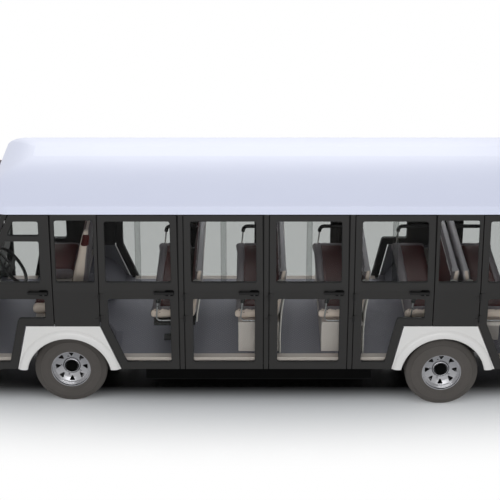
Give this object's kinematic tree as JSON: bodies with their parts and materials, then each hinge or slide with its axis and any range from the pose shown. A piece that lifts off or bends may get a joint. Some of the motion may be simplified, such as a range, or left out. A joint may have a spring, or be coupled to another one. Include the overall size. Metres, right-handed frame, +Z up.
{
  "type": "electric sightseeing car",
  "caption": "Closed electric sightseeing car with bench seats, hinged side doors, steered front wheels and rolling wheels.",
  "frame": {"origin": "on the ground under the middle of the car", "axes": "+X forward, +Y to the left, +Z up"},
  "size_m": [5.3498, 2.09, 2.012],
  "materials": {
    "axle_steel": "satin",
    "battery": "satin",
    "black_plastic": "matte",
    "body_dark": "satin",
    "body_white": "gloss",
    "chassis_black": "satin",
    "floor_plate": "satin",
    "glass": "gloss",
    "lamp_clear": "gloss",
    "lamp_red": "gloss",
    "roof_white": "gloss",
    "seat_box": "satin",
    "seat_cover": "satin",
    "tyre": "matte",
    "wheel_steel": "satin"
  },
  "bodies": {
    "car": {"armrests": "black_plastic", "battery_pack": "battery", "body_frame": "body_dark", "bumpers": "black_plastic", "chassis_frame": "chassis_black", "dashboard": "black_plastic", "fenders": "body_white", "floor_deck": "floor_plate", "front_axle": "axle_steel", "front_cowl": "body_white", "headlamps": "lamp_clear", "mirrors": "black_plastic", "rear_axle": "axle_steel", "rear_panel": "body_dark", "rear_window": "glass", "roof_shell": "roof_white", "seat_backs": "seat_cover", "seat_bases": "seat_box", "seat_cushions": "seat_cover", "side_glass": "glass", "side_panels": "body_dark", "tail_lamps": "lamp_red", "wheel_tubs": "black_plastic", "windscreen": "glass"},
    "front_door_left": {"front_door_left": "body_dark", "front_door_glass_left": "glass"},
    "front_door_right": {"front_door_right": "body_dark", "front_door_glass_right": "glass"},
    "door_1_left": {"door_1_left": "body_dark", "door_1_glass_left": "glass"},
    "door_1_right": {"door_1_right": "body_dark", "door_1_glass_right": "glass"},
    "door_2_left": {"door_2_left": "body_dark", "door_2_glass_left": "glass"},
    "door_2_right": {"door_2_right": "body_dark", "door_2_glass_right": "glass"},
    "door_3_left": {"door_3_left": "body_dark", "door_3_glass_left": "glass"},
    "door_3_right": {"door_3_right": "body_dark", "door_3_glass_right": "glass"},
    "door_4_left": {"door_4_left": "body_dark", "door_4_glass_left": "glass"},
    "door_4_right": {"door_4_right": "body_dark", "door_4_glass_right": "glass"},
    "rear_door_left": {"rear_door_left": "body_dark", "rear_door_glass_left": "glass"},
    "rear_door_right": {"rear_door_right": "body_dark", "rear_door_glass_right": "glass"},
    "knuckle_left": {"knuckle_left": "axle_steel"},
    "front_wheel_left": {"front_wheel_left": "wheel_steel", "front_tyre_left": "tyre"},
    "rear_wheel_left": {"rear_wheel_left": "wheel_steel", "rear_tyre_left": "tyre"},
    "knuckle_right": {"knuckle_right": "axle_steel"},
    "front_wheel_right": {"front_wheel_right": "wheel_steel", "front_tyre_right": "tyre"},
    "rear_wheel_right": {"rear_wheel_right": "wheel_steel", "rear_tyre_right": "tyre"},
    "steering_wheel": {"steering_wheel": "black_plastic"}
  },
  "joints": [
    {"name": "front_door_left_hinge", "type": "hinge", "parent": "car", "child": "front_door_left", "pos_m": [2.287, 0.843, 0.95], "axis": [0, 0, -1], "range_deg": [0, 70]},
    {"name": "front_door_right_hinge", "type": "hinge", "parent": "car", "child": "front_door_right", "pos_m": [2.287, -0.843, 0.95], "axis": [0, 0, 1], "range_deg": [0, 70]},
    {"name": "door_1_left_hinge", "type": "hinge", "parent": "car", "child": "door_1_left", "pos_m": [1.268, 0.843, 0.95], "axis": [0, 0, -1], "range_deg": [0, 70]},
    {"name": "door_1_right_hinge", "type": "hinge", "parent": "car", "child": "door_1_right", "pos_m": [1.268, -0.843, 0.95], "axis": [0, 0, 1], "range_deg": [0, 70]},
    {"name": "door_2_left_hinge", "type": "hinge", "parent": "car", "child": "door_2_left", "pos_m": [0.568, 0.843, 0.95], "axis": [0, 0, -1], "range_deg": [0, 70]},
    {"name": "door_2_right_hinge", "type": "hinge", "parent": "car", "child": "door_2_right", "pos_m": [0.568, -0.843, 0.95], "axis": [0, 0, 1], "range_deg": [0, 70]},
    {"name": "door_3_left_hinge", "type": "hinge", "parent": "car", "child": "door_3_left", "pos_m": [-0.132, 0.843, 0.95], "axis": [0, 0, -1], "range_deg": [0, 70]},
    {"name": "door_3_right_hinge", "type": "hinge", "parent": "car", "child": "door_3_right", "pos_m": [-0.132, -0.843, 0.95], "axis": [0, 0, 1], "range_deg": [0, 70]},
    {"name": "door_4_left_hinge", "type": "hinge", "parent": "car", "child": "door_4_left", "pos_m": [-0.832, 0.843, 0.95], "axis": [0, 0, -1], "range_deg": [0, 70]},
    {"name": "door_4_right_hinge", "type": "hinge", "parent": "car", "child": "door_4_right", "pos_m": [-0.832, -0.843, 0.95], "axis": [0, 0, 1], "range_deg": [0, 70]},
    {"name": "rear_door_left_hinge", "type": "hinge", "parent": "car", "child": "rear_door_left", "pos_m": [-1.872, 0.843, 0.95], "axis": [0, 0, -1], "range_deg": [0, 70]},
    {"name": "rear_door_right_hinge", "type": "hinge", "parent": "car", "child": "rear_door_right", "pos_m": [-1.872, -0.843, 0.95], "axis": [0, 0, 1], "range_deg": [0, 70]},
    {"name": "steer_left", "type": "hinge", "parent": "car", "child": "knuckle_left", "pos_m": [1.545, 0.52, 0.309], "axis": [0, 0, 1], "range_deg": [-28, 28]},
    {"name": "front_wheel_left_spin", "type": "hinge", "parent": "knuckle_left", "child": "front_wheel_left", "pos_m": [1.545, 0.639, 0.309], "axis": [0, 1, 0], "continuous": true},
    {"name": "rear_wheel_left_spin", "type": "hinge", "parent": "car", "child": "rear_wheel_left", "pos_m": [-1.595, 0.7, 0.309], "axis": [0, 1, 0], "continuous": true},
    {"name": "steer_right", "type": "hinge", "parent": "car", "child": "knuckle_right", "pos_m": [1.545, -0.52, 0.309], "axis": [0, 0, 1], "range_deg": [-28, 28]},
    {"name": "front_wheel_right_spin", "type": "hinge", "parent": "knuckle_right", "child": "front_wheel_right", "pos_m": [1.545, -0.639, 0.309], "axis": [0, 1, 0], "continuous": true},
    {"name": "rear_wheel_right_spin", "type": "hinge", "parent": "car", "child": "rear_wheel_right", "pos_m": [-1.595, -0.7, 0.309], "axis": [0, 1, 0], "continuous": true},
    {"name": "steering_wheel_turn", "type": "hinge", "parent": "car", "child": "steering_wheel", "pos_m": [2.039, 0.4, 1.13], "axis": [-0.788, 0, 0.6157], "range_deg": [-400, 400]}
  ],
  "couplings": [
    {"joint": "steer_right", "follows": "steer_left", "ratio": 1},
    {"joint": "steering_wheel_turn", "follows": "steer_left", "ratio": 14}
  ]
}
